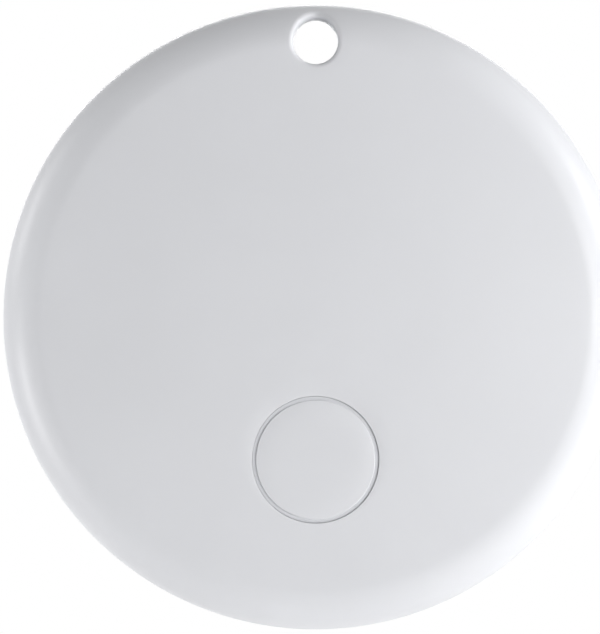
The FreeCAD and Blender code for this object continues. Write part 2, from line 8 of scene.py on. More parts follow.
# %% Load the fixed frame
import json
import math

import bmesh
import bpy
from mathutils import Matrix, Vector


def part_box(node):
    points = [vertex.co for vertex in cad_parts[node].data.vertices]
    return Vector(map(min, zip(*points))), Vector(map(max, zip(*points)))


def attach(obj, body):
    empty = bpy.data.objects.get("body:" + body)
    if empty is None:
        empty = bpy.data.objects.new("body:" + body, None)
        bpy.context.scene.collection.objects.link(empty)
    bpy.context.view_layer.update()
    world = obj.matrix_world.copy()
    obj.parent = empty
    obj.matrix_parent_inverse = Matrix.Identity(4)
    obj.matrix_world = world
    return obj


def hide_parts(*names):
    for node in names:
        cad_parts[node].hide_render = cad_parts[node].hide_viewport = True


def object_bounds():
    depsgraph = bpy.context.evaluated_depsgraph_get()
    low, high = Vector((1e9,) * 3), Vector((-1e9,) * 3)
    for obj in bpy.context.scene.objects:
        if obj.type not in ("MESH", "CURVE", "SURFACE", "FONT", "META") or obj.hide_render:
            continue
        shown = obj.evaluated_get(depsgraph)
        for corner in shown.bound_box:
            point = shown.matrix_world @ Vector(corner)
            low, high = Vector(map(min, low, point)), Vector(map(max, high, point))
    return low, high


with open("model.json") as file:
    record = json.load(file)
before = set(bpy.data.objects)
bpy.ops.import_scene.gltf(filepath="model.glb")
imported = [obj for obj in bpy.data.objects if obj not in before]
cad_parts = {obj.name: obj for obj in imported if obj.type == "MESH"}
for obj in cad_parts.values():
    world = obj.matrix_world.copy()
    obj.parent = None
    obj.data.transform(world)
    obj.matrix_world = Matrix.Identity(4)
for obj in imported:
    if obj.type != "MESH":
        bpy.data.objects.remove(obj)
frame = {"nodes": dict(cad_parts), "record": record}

# %% [markdown]
# ## Sizes
# Blender counts in metres and the tag is drawn in millimetres, so one name does the conversion. The
# disc stands upright with its front to -Y, and the cord hole lies at the origin. Its middle, radius and
# faces are read from the frame, so that nothing here has to be fitted by eye.

MM = 0.001
NEAR = MM / 200              # a point this close to a spot or a surface counts as being on it
frame_low, frame_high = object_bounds()
disc_radius = (frame_high.x - frame_low.x) / 2
disc_middle = (frame_low + frame_high) / 2
front, rear = frame_low.y, frame_high.y


def below_rear(depth):
    """Y of a depth in millimetres, counted from the rear face towards the front."""
    return rear - depth * MM


def node_middle(name):
    """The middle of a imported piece's box."""
    low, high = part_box(name)
    return (low + high) / 2


def distance_from(axis):
    """A measure: how far a spot is from an axis that runs from front to rear."""
    return lambda spot: math.hypot(spot.x - axis.x, spot.z - axis.z)


from_axis = distance_from(disc_middle)
print("disc radius", round(disc_radius / MM, 3), "mm, thickness", round((rear - front) / MM, 3), "mm")

# %% [markdown]
# ## Helpers for modelling
# An operator works on all that is selected, as it does by hand. So each new piece begins with nothing
# else selected, and its points, edges or faces are then picked by their place. A primitive is only the
# start: the shape comes from extruding, spinning, bridging and bevelling it.

# %% Pick and move parts of a piece
def middle(part):
    """The middle of an edge or a face."""
    return sum((corner.co for corner in part.verts), Vector()) / len(part.verts)


def pick(piece, kind, test):
    """Selects the points (VERT), edges (EDGE) or faces (FACE) that pass a test, and counts them."""
    bpy.ops.mesh.select_mode(type=kind)
    bpy.ops.mesh.select_all(action="DESELECT")
    mesh = bmesh.from_edit_mesh(piece.data)
    parts = {"VERT": mesh.verts, "EDGE": mesh.edges, "FACE": mesh.faces}[kind]
    chosen = [part for part in parts if test(part)]
    for part in chosen:
        part.select_set(True)
    mesh.select_flush_mode()
    bmesh.update_edit_mesh(piece.data)
    return len(chosen)


def all_at(part, measure, value):
    """Whether a measure has one value at all the corners of an edge or a face."""
    return all(abs(measure(corner.co) - value) < NEAR for corner in part.verts)


def move_points(piece, test, place):
    """Moves the points that pass a test, each to the place that is worked out from where it is."""
    mesh = bmesh.from_edit_mesh(piece.data)
    for point in mesh.verts:
        if test(point):
            point.co = place(point.co)
    bmesh.update_edit_mesh(piece.data)


# %% Change what is picked
def extrude(way=(0, 0, 0)):
    bpy.ops.mesh.extrude_region_move(TRANSFORM_OT_translate={"value": way})


def flatten(y):
    """Puts what is picked on the plane at one Y."""
    bpy.ops.transform.resize(value=(1, 0, 1), center_override=(0, y, 0))


def widen(factor, axis):
    """Scales what is picked away from an axis that runs from front to rear, or towards it."""
    bpy.ops.transform.resize(value=(factor, 1, factor), center_override=axis)


def tidy():
    """Merges what lies on the same spot and turns all faces outwards."""
    bpy.ops.mesh.select_all(action="SELECT")
    bpy.ops.mesh.remove_doubles(threshold=MM / 2000)
    bpy.ops.mesh.normals_make_consistent(inside=False)


# %% [markdown]
# Nearly every piece of the tag is turned about an axis that runs from front to rear. A turned piece
# starts as a single point. Extruding it from spot to spot draws the profile, and Spin sweeps it round.
# The ends of the sweep lie on each other, so doubles are merged, and only then are the faces turned
# outwards.

# %% Draw a profile and spin it
def drawn(name, spots):
    """Begins a piece as a line from spot to spot, all selected, and leaves it open in edit mode."""
    if bpy.context.object and bpy.context.object.mode == "EDIT":
        bpy.ops.object.mode_set(mode="OBJECT")
    bpy.ops.object.select_all(action="DESELECT")
    bpy.ops.mesh.primitive_plane_add(size=MM, location=spots[0])
    piece = bpy.context.object
    piece.name = piece.data.name = name
    bpy.ops.object.transform_apply(location=True, rotation=True, scale=True)
    bpy.ops.object.mode_set(mode="EDIT")
    bpy.ops.mesh.select_mode(type="VERT")
    bpy.ops.mesh.select_all(action="SELECT")
    bpy.ops.mesh.merge(type="CENTER")
    for here, there in zip(spots, spots[1:]):
        extrude(there - here)
    bpy.ops.mesh.select_all(action="SELECT")
    return piece


def spun(name, axis, profile, steps):
    """A turned piece. The profile's spots are (distance from the axis, Y)."""
    piece = drawn(name, [Vector((axis.x + reach, y, axis.z)) for reach, y in profile])
    bpy.ops.mesh.spin(steps=steps, angle=2 * math.pi, center=(axis.x, 0, axis.z), axis=(0, 1, 0))
    tidy()
    return piece


def ring(name, axis, corners, steps):
    """A closed ring. Its corners are (distance from the axis, depth) in millimetres."""
    profile = [(reach * MM, below_rear(depth)) for reach, depth in corners]
    return spun(name, axis, profile + profile[:1], steps)


def rounding(reach, y, size, start, end, steps, facing):
    """Profile spots on an arc about (reach, y). Angles run from straight ahead (facing -1 for the
    front, 1 for the rear) outwards, in degrees."""
    turns = [math.radians(start + (end - start) * n / steps) for n in range(steps + 1)]
    return [(reach + size * math.sin(turn), y + facing * size * math.cos(turn)) for turn in turns]


sharpest_smooth = 32         # degrees between two faces that still shade as one surface


def select_pieces(*pieces):
    """Leaves edit mode with these pieces selected, and makes the first one active."""
    bpy.ops.object.mode_set(mode="OBJECT")
    bpy.ops.object.select_all(action="DESELECT")
    for piece in pieces:
        piece.select_set(True)
    bpy.context.view_layer.objects.active = pieces[0]


def finish_piece(piece, body, *stands_for):
    """Leaves edit mode, smooths the shading except over sharp edges, and ties the piece to its body."""
    select_pieces(piece)
    bpy.ops.object.shade_smooth_by_angle(angle=math.radians(sharpest_smooth))
    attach(piece, body)
    if stands_for:
        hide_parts(*stands_for)
    print(piece.name, len(piece.data.polygons), "faces")


# %% [markdown]
# The shells carry rings and ribs on their inside. A rib is drawn as its outline, then filled and extruded
# sideways. Each such feature is a closed solid that is rooted in the wall, and it is joined to its shell,
# since the real shell is one moulding.

# %% Draw a rib and join it to its shell
def on_disc(reach, direction, y=0.0):
    """A spot at a distance from the disc's axis, in a direction counted from +X towards +Z."""
    turn = math.radians(direction)
    return Vector((disc_middle.x + reach * math.cos(turn), y, disc_middle.z + reach * math.sin(turn)))


def rib(name, corners, width, direction):
    """A flat rib that runs outwards. Its corners are (distance from the disc's axis, depth)."""
    across = on_disc(1, direction + 90) - on_disc(0, 0)
    spots = [on_disc(reach * MM, direction, below_rear(depth)) - across * width * MM / 2
             for reach, depth in corners]
    piece = drawn(name, spots)
    bpy.ops.mesh.edge_face_add()
    extrude(across * width * MM)
    tidy()
    return piece


def join_to(piece, features):
    select_pieces(piece, *features)
    bpy.ops.object.join()
    bpy.ops.object.mode_set(mode="EDIT")
    print(piece.name, "carries", len(features), "inner features")


# %% [markdown]
# ## Front shell
# The front face is one very shallow dome that turns over into a rounded rim, with no edge between the
# two. It is drawn as a profile and spun, but only from just outside the button to the parting line.
# The middle of the face is left open at first: a dome with the button's hole off its centre would come
# out uneven if it were cut afterwards.

# %% The front face as a formula
dome_edge_tilt = 6.5         # degrees, where the dome meets the rounding of the rim
front_rim_size = 2.8 * MM
dome_edge = disc_radius - front_rim_size * (1 - math.sin(math.radians(dome_edge_tilt)))
dome_size = dome_edge / math.sin(math.radians(dome_edge_tilt))
rim_reach = disc_radius - front_rim_size
rim_y = front + dome_size - math.sqrt(dome_size ** 2 - dome_edge ** 2) + front_rim_size * math.cos(
    math.radians(dome_edge_tilt))


def half_chord(size, offset):
    """How far a circle reaches to one side at an offset from its middle."""
    return math.sqrt(max(0.0, size ** 2 - offset ** 2))


def front_surface(reach):
    """Y of the front face at a distance from the disc's axis."""
    if reach <= dome_edge:
        return front + dome_size - half_chord(dome_size, reach)
    return rim_y - half_chord(front_rim_size, reach - rim_reach)


print("dome", round(dome_size / MM, 1), "mm, rim starts at", round(dome_edge / MM, 3), "mm")

# %% Spin the outer part of the front shell
disc_steps, rim_steps = 384, 24
wall = 1.1 * MM
groove = 0.14 * MM           # of the fine V line where the shells meet
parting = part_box("circuit_board")[1].y + 0.95 * MM
face_rings = (14.4, 15.1, 15.8)
inner_ring = face_rings[0] * MM
snap_rows = (4.71, 4.58, 4.32)

front_profile = [(reach * MM, front_surface(reach * MM)) for reach in face_rings]
front_rim = rounding(rim_reach, rim_y, front_rim_size, dome_edge_tilt, 90, rim_steps, -1)
front_profile += front_rim + [(disc_radius, below_rear(depth)) for depth in snap_rows]
front_profile += [(disc_radius, parting - groove), (disc_radius - groove, parting)]
case_front = spun("case_front", disc_middle, front_profile, disc_steps)
print("front shell:", len(front_profile), "spots in the profile,", disc_steps, "steps round")

# %% [markdown]
# ### The button's opening
# A circle is added where the button goes, with as many points as the open ring round it, and Bridge Edge
# Loops fills the space between the two. The new points lie on flat strips, so each is then moved along Y
# onto the dome. That keeps the face perfectly even right up to the button's fine gap.

# %% Bridge the face to the button's hole
button_middle = node_middle("button_cap")
from_button = distance_from(button_middle)
button_radius = 3.61 * MM
step_radius = 3.83 * MM      # of the step round the cap, the floor of the fine groove
step_depth = 0.14 * MM
button_gap = 0.02 * MM
hole_radius = step_radius + button_gap


def settle(piece, test, surface):
    """Moves points along Y onto a turned surface."""
    move_points(piece, test, lambda spot: Vector((spot.x, surface(from_axis(spot)), spot.z)))


def add_circle(radius, where, count):
    bpy.ops.mesh.primitive_circle_add(vertices=count, radius=radius, location=where,
                                      rotation=(math.pi / 2, 0, 0))


raised = Vector((0, -MM, 0))     # Bridge pairs up two loops well only when they lie apart
add_circle(hole_radius, Vector((button_middle.x, front, button_middle.z)) + raised, disc_steps)
pick(case_front, "EDGE", lambda edge: edge.is_wire
     or edge.is_boundary and from_axis(middle(edge)) < inner_ring)
button_rings = 13
bpy.ops.mesh.bridge_edge_loops(number_cuts=button_rings, interpolation="LINEAR")
settle(case_front, lambda point: from_axis(point.co) < inner_ring + groove, front_surface)
print("button's hole:", round(hole_radius / MM, 3), "mm in radius,", disc_steps, "points")

# %% [markdown]
# ### The cord hole
# The hole sits where the face turns over into the rim, so its edge rises and falls. A patch of the
# spun face is deleted, a circle with as many points as the gap's outline is bridged to it, and the new
# points are moved onto the curved surface. The bore is then extruded down to the parting line.

# %% A patch with a round opening
def within(spot, direction, every, half):
    """Whether a spot lies within an angle of a direction, or of one of several evenly spaced ones."""
    turn = math.degrees(math.atan2(spot.z - disc_middle.z, spot.x - disc_middle.x)) - direction
    return abs((turn + every / 2) % every - every / 2) < half


def in_patch(spot, direction, sweep, near, far):
    """Whether a spot lies in a patch between two distances and within an angle of a direction."""
    return within(spot, direction, 360, sweep) and near < from_axis(spot) < far


def lies_on(part, surface):
    """Whether all the corners of an edge or a face lie on a turned surface."""
    return all_at(part, lambda spot: spot.y - surface(from_axis(spot)), 0)


def open_patch(piece, where, radius, patch, surface, cuts):
    """Swaps a patch of a turned face for one that runs up to a round edge."""
    direction, sweep, near, far = patch
    outline = (direction, sweep + 0.1, near - 2 * NEAR, far + 2 * NEAR)
    pick(piece, "FACE", lambda face: in_patch(middle(face), *patch) and lies_on(face, surface))
    bpy.ops.mesh.delete(type="FACE")

    def on_outline(edge):
        return edge.is_boundary and in_patch(middle(edge), *outline) and lies_on(edge, surface)

    count = pick(piece, "EDGE", on_outline)
    add_circle(radius, where + raised, count)
    pick(piece, "EDGE", lambda edge: edge.is_wire or on_outline(edge))
    bpy.ops.mesh.bridge_edge_loops(number_cuts=cuts, interpolation="LINEAR")
    settle(piece, lambda point: point.select, surface)


def turn_outwards(piece, test_spot):
    """An open skin has no inside, so it is turned over if its face by a spot points the wrong way."""
    tidy()
    mesh = bmesh.from_edit_mesh(piece.data)
    nearest = min(mesh.faces, key=lambda face: (middle(face) - test_spot).length)
    if nearest.normal.dot(middle(nearest) - disc_middle) < 0:
        bpy.ops.mesh.select_all(action="SELECT")
        bpy.ops.mesh.flip_normals()


# %% [markdown]
# The mouth of the hole has a moulded rounding. The face falls away towards the rim, where a plain bevel
# would come out uneven. So each point is placed where a ball of the rounding's size would touch, if it
# were rolled round the hole against both the face and the bore.

# %% Open the cord hole in the front shell
cord_axis = Vector((0, 0, 0))
from_cord = distance_from(cord_axis)
cord_radius = frame["record"]["mounts"][0]["dims"]["r_mm"] * MM
cord_ring = 2.12 * MM
cord_sweep = 10 * 360 / disc_steps           # half the patch, which is 20 steps wide
mouth_round = 0.3 * MM
mouth_steps = 8


def mouth_spot(spot, share, surface, facing):
    """Where the rolled ball touches, in a point's direction: 0 is on the face and 1 on the bore."""
    way = Vector((spot.x, 0, spot.z)).normalized()
    nudge = MM / 1000

    def depth(reach):
        return -facing * surface(from_axis(way * reach))

    touch = cord_radius + mouth_round
    for _ in range(12):                      # each round comes closer to the true spot
        lean = math.atan((depth(touch + nudge) - depth(touch - nudge)) / (2 * nudge))
        touch = cord_radius + mouth_round * (1 + math.sin(lean))
    turn = lean - (math.pi / 2 + lean) * share
    reach = cord_radius + mouth_round * (1 + math.sin(turn))
    sunk = depth(touch) + mouth_round * (math.cos(lean) - math.cos(turn))
    return way * reach + Vector((0, -facing * sunk, 0))


def cord_hole(piece, patch, surface, facing):
    """Opens the patch for the hole, rounds its mouth and extrudes its bore to the parting line."""
    open_patch(piece, Vector((0, surface(-disc_middle.z), 0)), cord_ring, patch, surface, 3)
    pick(piece, "EDGE", lambda edge: edge.is_boundary
         and abs(from_cord(edge.verts[0].co) - cord_ring) < 2 * NEAR)
    for step in range(mouth_steps + 1):
        extrude()
        move_points(piece, lambda point: point.select,
                    lambda spot: mouth_spot(spot, step / mouth_steps, surface, facing))
    extrude()
    flatten(parting)


rim_stop = -4                # the patch ends three steps before the last spot of the rim's rounding
cord_hole(case_front, (90, cord_sweep, inner_ring, front_rim[rim_stop][0]), front_surface, -1)
turn_outwards(case_front, Vector((disc_middle.x, front, disc_middle.z)))

# %% [markdown]
# ### The wall
# Solidify gives the skin its 1.1 mm wall, inwards. Round the cord hole the wall is drawn thinner with a
# weight on each point, because there the bore and the rim lie so close that two full walls would run
# into each other. Solidify leans the last ring of points at the parting line, so it is flattened back.
# Last, the button's hole is made to run straight in, a little wider inside, and its edge is bevelled.

# %% Give the front shell its wall
cord_wall = 0.25 * MM
cord_zone = (2.3 * MM, 3.4 * MM)


def wall_share(spot, zones):
    """The part of the full wall that a point gets: the least of its zones."""
    share = 1.0
    for distance, thin, near, far in zones:
        rise = min(1.0, max(0.0, (distance(spot) - near) / (far - near)))
        share = min(share, thin + (1 - thin) * rise)
    return share


def thicken(piece, zones):
    """Solidifies an open skin inwards, thinner where a zone says so."""
    bpy.ops.object.mode_set(mode="OBJECT")
    bpy.context.view_layer.objects.active = piece
    group = piece.vertex_groups.new(name="wall")
    for point in piece.data.vertices:
        group.add([point.index], wall_share(point.co, zones), "REPLACE")
    bpy.ops.object.modifier_add(type="SOLIDIFY")
    solid = piece.modifiers[-1]
    solid.thickness = wall
    solid.offset = -1
    solid.vertex_group = "wall"
    bpy.ops.object.modifier_apply(modifier=solid.name)
    piece.vertex_groups.clear()
    bpy.ops.object.mode_set(mode="EDIT")


def linked(point):
    return [edge.other_vert(point) for edge in point.link_edges]


def flatten_parting(piece, reach):
    """Puts the inner ring of points that Solidify leant back onto the parting plane."""
    count = pick(piece, "VERT", lambda point: abs(point.co.y - parting) < wall
                 and any(abs(other.co.y - parting) < NEAR and from_axis(other.co) > reach
                         for other in linked(point)) and from_axis(point.co) < reach)
    flatten(parting)
    print(piece.name, "flattened at the parting line:", count, "points")


def round_edge(piece, test, size, segments):
    """Bevels the edges that pass a test."""
    print(piece.name, "bevelled:", pick(piece, "EDGE", test), "edges")
    bpy.ops.mesh.bevel(offset=size, segments=segments, profile=0.5, clamp_overlap=False)
    tidy()


by_the_cord = (from_cord, cord_wall / wall, *cord_zone)
outer_edge = disc_radius - 1.5 * groove
thicken(case_front, [by_the_cord])
flatten_parting(case_front, outer_edge)

# %% Straighten the button's hole and round its edge
def on_inner_edge(point):
    """Whether a point is on the hole's inner edge, across the wall from the outer one."""
    return (point.co.y > front_surface(from_axis(point.co)) + wall / 2
            and abs(from_button(point.co) - hole_radius) < wall / 6
            and any(abs(from_button(other.co) - hole_radius) < NEAR for other in linked(point)))


count = pick(case_front, "VERT", on_inner_edge)
mesh = bmesh.from_edit_mesh(case_front.data)
inner_edge = [point.co.copy() for point in mesh.verts if point.select]
lean = sum(inner_edge, Vector()) / count - button_middle
bpy.ops.transform.translate(value=(-lean.x, 0, -lean.z))
inner_radius = sum(from_button(spot - lean) for spot in inner_edge) / count
inner_play = 0.1 * MM
widen((hole_radius + inner_play) / inner_radius, button_middle)
print(count, "points of the button's hole moved by", round(math.hypot(lean.x, lean.z) / MM, 3), "mm")

button_round, round_steps = 0.04 * MM, 4
round_edge(case_front, lambda edge: all_at(edge, from_button, hole_radius)
           and lies_on(edge, front_surface), button_round, round_steps)

# %% [markdown]
# ### Inside the front shell
# The rim has a shallow groove for the snap beads of the rear shell. The sounder is glued to a ring, a
# slotted collar guides the button, and three posts carry the board: each post ends in a pin that goes
# through the board and is melted over. A thin ring stiffens the wall of the cord hole.

# %% Snap groove
def in_snap_row(spot):
    """Whether a spot is between the depths of the snap groove."""
    return below_rear(4.6) < spot.y < below_rear(4.3)


inner_wall = disc_radius - wall
snap_groove_radius = 18.08 * MM
print("snap groove:", pick(case_front, "VERT", lambda point: in_snap_row(point.co)
                           and abs(from_axis(point.co) - inner_wall) < 2 * NEAR), "points")
widen(snap_groove_radius / inner_wall, disc_middle)

# %% Sounder seat, button collar and posts
def square_ring(name, axis, inner, outer, low, high, steps):
    """A ring of square section, between two radii and two depths in millimetres."""
    return ring(name, axis, ((inner, low), (outer, low), (outer, high), (inner, high)), steps)


in_the_face = 7.5            # depth at which rings end inside the wall of the front face
sounder_middle = node_middle("piezo_plate")
sounder_seat = square_ring("sounder_seat", sounder_middle, 6.2, 7.4, 6.8, in_the_face, 128)

flange_top, flange_bottom, underside = below_rear(6.724), below_rear(6.374), below_rear(7.341)
button_steps = 160
collar = square_ring("button_collar", button_middle, 4.48, 5.08, 6.724, in_the_face, button_steps)
key_slot, collar_depth = 0.62 * MM, 0.4 * MM
pick(collar, "FACE", lambda face: abs(middle(face).y - flange_top) < NEAR
     and abs(middle(face).z - button_middle.z) > key_slot)
extrude((0, collar_depth, 0))

inner_features = [sounder_seat, collar]
post_reach, post_steps = 15.75, 48
post_profile = [(reach * MM, below_rear(depth)) for reach, depth in (
    (0, 4.7), (0.55, 4.7), (0.9, 5.05), (0.55, 5.05), (0.55, 5.65), (1.2, 5.65), (1.2, 7.0), (0, 7.0))]
for direction in (20, 160, 270):
    inner_features.append(spun("post", on_disc(post_reach * MM, direction), post_profile, post_steps))
    corners = ((post_reach, 5.65), (18.0, 5.65), (18.0, 6.4), (post_reach, 6.4))
    inner_features.append(rib("post_rib", corners, 0.6, direction))
cord_steps = 64
inner_features.append(square_ring("cord_ring", cord_axis, 1.45, 1.9, 4.15, 6.0, cord_steps))
join_to(case_front, inner_features)
finish_piece(case_front, "case", "front_shell")

# %% [markdown]
# ## Rear shell
# The rear is flat, with a round recess for the battery cover and a wider rounding at the rim. It is made
# the way the front is: the profile runs from the ledge under the cover, up the wall of the recess, over
# the flat ring and round the rim to the parting line.

# %% Spin the rear shell
rear_rim_size = 3.6 * MM
rear_rim_reach = disc_radius - rear_rim_size
recess_radius = 12.65 * MM


def rear_surface(reach):
    """Y of the rear face at a distance from the disc's axis."""
    if reach <= rear_rim_reach:
        return rear
    return rear - rear_rim_size + half_chord(rear_rim_size, reach - rear_rim_reach)


flat_rings = (13.3, 13.7, 14.1, 14.45, 14.8)
flat_near, flat_far = flat_rings[0] * MM, flat_rings[-1] * MM
rear_profile = [(recess_radius, below_rear(1.3)), (recess_radius, rear)]
rear_profile += [(reach * MM, rear) for reach in flat_rings]
rear_rim = rounding(rear_rim_reach, rear - rear_rim_size, rear_rim_size, 0, 90, rim_steps, 1)
rear_profile += rear_rim + [(disc_radius, parting + groove), (disc_radius - groove, parting)]
case_rear = spun("case_rear", disc_middle, rear_profile, disc_steps)
cord_hole(case_rear, (90, cord_sweep, flat_near, rear_rim[rim_stop][0]), rear_surface, 1)

# %% [markdown]
# Two small dimples beside the cover show its locked and its open place. Each is a patch of the flat ring
# with a small circle bridged into it, pushed in and filled.

# %% Press the marks
mark_radius = 0.3 * MM
mark_depth = 0.15 * MM


def press_mark(piece, reach, patch, surface):
    """A small round dimple in a patch, at a distance from the disc's axis."""
    spot = on_disc(reach, patch[0], surface(reach))
    open_patch(piece, spot, mark_radius, patch, surface, 0)
    pick(piece, "EDGE", lambda edge: edge.is_boundary
         and all_at(edge, lambda corner: (corner - spot).length, mark_radius))
    extrude()
    flatten(spot.y - mark_depth)
    bpy.ops.mesh.edge_face_add()


mark_reach = (recess_radius + rear_rim_reach) / 2
for direction in (270, 240):
    patch = (direction, 4 * 360 / disc_steps, flat_near, flat_far)
    press_mark(case_rear, mark_reach, patch, rear_surface)
turn_outwards(case_rear, Vector((rear_rim_reach, rear, disc_middle.z)))

# %% Give the rear shell its wall
by_the_recess = (from_axis, 0.5, recess_radius + groove, flat_near)
thicken(case_rear, [by_the_cord, by_the_recess])
flatten_parting(case_rear, outer_edge)
recess_round = 0.08 * MM
round_edge(case_rear, lambda edge: all_at(edge, from_axis, recess_radius)
           and lies_on(edge, rear_surface), recess_round, 3)

# %% [markdown]
# ### Inside the rear shell
# The cover's lugs drop through three notches in a ledge and lock under it when they are turned, each
# between two stops. Above this chamber stands the wall round the coin cell, open on one side for the
# cell's side contact. At the rim a lip with six snap beads goes into the front shell, and six ribs
# stiffen the space between.

# %% Battery well
def at_reach(face, reach):
    return all_at(face, from_axis, reach * MM)


def at_depth(face, depth):
    return all_at(face, lambda spot: spot.y, below_rear(depth))


def grow(reach, new_reach):
    """Extrudes the picked faces straight away from the disc's axis, or towards it."""
    extrude()
    widen(new_reach / reach, disc_middle)


well_steps = 360
chamber, ledge_reach, ledge_depth = 12.35, 11.5, 1.85
cell_wall_reach, roof, cell_wall_height = 11.2, 3.4, 1.6 * MM
notch_half = 14              # degrees
side_contact = 1.7 * MM      # half the opening in the cell's wall
battery_well = ring("battery_well", disc_middle, (
    (chamber, 1.15), (13.2, 1.15), (13.2, roof), (cell_wall_reach, roof), (10.3, roof), (10.3, 2.7),
    (chamber, 2.7), (chamber, ledge_depth)), well_steps)

print("ledge faces:", pick(battery_well, "FACE", lambda face: at_reach(face, chamber)
                           and middle(face).y > below_rear(ledge_depth)
                           and not within(middle(face), 60, 120, notch_half)))
grow(chamber, ledge_reach)


def on_cell_wall(face):
    spot = middle(face)
    beside_contact = abs(spot.z - disc_middle.z) > side_contact or spot.x < disc_middle.x
    return at_depth(face, roof) and from_axis(spot) < cell_wall_reach * MM and beside_contact


print("cell wall faces:", pick(battery_well, "FACE", on_cell_wall))
extrude((0, -cell_wall_height, 0))
tidy()

# %% Lip with its snap beads
lip_inner, lip_outer, bead_reach = 17.1, 17.8, 18.02
lip_depths = (4.05, 4.25, 4.65, 4.8)
bead_middle = (lip_depths[1] + lip_depths[2]) / 2
snap_lip = ring("snap_lip", disc_middle, (
    (lip_inner, 2.9), (18.3, 2.9), (18.3, lip_depths[0]), (lip_outer, lip_depths[0]),
    (lip_inner, lip_depths[0])), well_steps)
for depth, next_depth in zip(lip_depths, lip_depths[1:]):
    count = pick(snap_lip, "FACE", lambda face: at_depth(face, depth)
                 and from_axis(middle(face)) < lip_outer * MM)
    extrude((0, (depth - next_depth) * MM, 0))
print("lip faces:", count)


def on_bead(face):
    spot = middle(face)
    by_the_hole = within(spot, 90, 360, 10)
    return at_reach(face, lip_outer) and in_snap_row(spot) and within(spot, 30, 60, 9) and not by_the_hole


print("bead faces:", pick(snap_lip, "FACE", on_bead))
grow(lip_outer, bead_reach)
bpy.ops.transform.resize(value=(1, 0.5, 1), center_override=(0, below_rear(bead_middle), 0))

# %% Cut the lip open at the cord hole
cut_half = 7.5               # degrees
pick(snap_lip, "FACE", lambda face: within(middle(face), 90, 360, cut_half))
bpy.ops.mesh.delete(type="FACE")
for side in (-1, 1):
    count = pick(snap_lip, "EDGE", lambda edge: edge.is_boundary and middle(edge).x * side > 0)
    bpy.ops.mesh.edge_face_add()
    print("cut end of the lip:", count, "edges")
tidy()

# %% Stops, ribs and the ring round the cord hole
inner_features = [battery_well, snap_lip]
stop_corners = ((11.55, 1.8), (12.6, 1.8), (12.6, 2.8), (11.55, 2.8))
for locked in (90, 210, 330):
    for direction in (locked + 15, locked - 45):
        inner_features.append(rib("lug_stop", stop_corners, 0.84, direction))
long_rib = ((12.8, 0.8), (16.8, 0.8), (18.3, 2.6), (12.8, 2.6))
short_rib = ((12.8, 0.8), (14.9, 0.8), (14.9, 2.6), (12.8, 2.6))
for direction in range(30, 390, 60):
    corners = short_rib if direction == 90 else long_rib         # the cord hole is at 90 degrees
    inner_features.append(rib("stiffening_rib", corners, 0.7, direction))
inner_features.append(square_ring("cord_ring", cord_axis, 1.45, 1.9, 2.1, 4.05, cord_steps))
join_to(case_rear, inner_features)
finish_piece(case_rear, "case", "rear_shell")

# %% [markdown]
# ## Battery cover
# The cover is a disc with a groove for its seal, a collar that reaches into the case and three lugs that
# lock under the ledge when it is turned. A coin fits the slot across its face. The profile is spun from
# a ring on the face to the middle of the inside, and the slot's outline is bridged to that ring.

# %% Spin the cover
cover_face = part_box("battery_cover")[1].y
cover_reach, cover_round = 12.45, 0.15 * MM
cover_steps = 240
slot_ring = 8.0 * MM
mark_rings = (10.4, 10.75, 11.1, 11.4, 11.7)
seal_floor, hub, lug_top, lug_bottom = 12.09, 11.35, 1.9, 2.5

cover_profile = [(slot_ring, cover_face)]
cover_profile += [(reach * MM, cover_face) for reach in mark_rings]
cover_profile += rounding(cover_reach * MM - cover_round, cover_face - cover_round, cover_round, 0, 90,
                          round_steps, 1)
cover_profile += [(reach * MM, below_rear(depth)) for reach, depth in (
    (cover_reach, 0.32), (seal_floor, 0.32), (seal_floor, 0.88), (cover_reach, 0.88), (cover_reach, 1.1),
    (hub, 1.1), (hub, lug_top), (hub, lug_bottom), (10.45, lug_bottom), (10.45, 1.3), (0, 1.3))]
coin_cover = spun("coin_cover", disc_middle, cover_profile, cover_steps)

# %% [markdown]
# ### Coin slot
# A slot with round ends starts as a plane whose corners are bevelled into half circles. Its long sides
# are divided until the outline has as many points as the open ring on the cover's face, because a bridge
# between equal loops is even. The outline is then extruded down and filled.

# %% Lay out the coin slot
slot_length, slot_width, slot_depth = 13.0 * MM, 1.8 * MM, 0.6 * MM
bpy.ops.mesh.primitive_plane_add(size=slot_length, location=(disc_middle.x, cover_face, disc_middle.z),
                                 rotation=(math.pi / 2, 0, 0))
bpy.ops.transform.resize(value=(1, 1, slot_width / slot_length))
slot_corner_steps = 12
bpy.ops.mesh.bevel(offset=slot_width / 2, affect="VERTICES", segments=slot_corner_steps, profile=0.5)
bpy.ops.mesh.delete(type="ONLY_FACE")
bpy.ops.mesh.select_all(action="SELECT")
bpy.ops.mesh.remove_doubles(threshold=MM / 2000)
pick(coin_cover, "EDGE", lambda edge: edge.is_wire and edge.calc_length() > slot_length / 2)
bpy.ops.mesh.subdivide(number_cuts=cover_steps // 2 - slot_corner_steps * 2 - 1)


def near_face(edge):
    return all_at(edge, lambda spot: spot.y, cover_face)


pick(coin_cover, "EDGE", lambda edge: edge.is_wire)
bpy.ops.transform.translate(value=-raised)
pick(coin_cover, "EDGE", lambda edge: edge.is_wire or near_face(edge) and edge.is_boundary)
bpy.ops.mesh.bridge_edge_loops(interpolation="LINEAR")
pick(coin_cover, "VERT", lambda point: point.co.y > cover_face - MM / 10
     and from_axis(point.co) < slot_ring)
flatten(cover_face)
count = pick(coin_cover, "EDGE", lambda edge: edge.is_boundary and near_face(edge))
print("slot outline:", count, "edges")
extrude()
flatten(cover_face - slot_depth)
bpy.ops.mesh.edge_face_add()

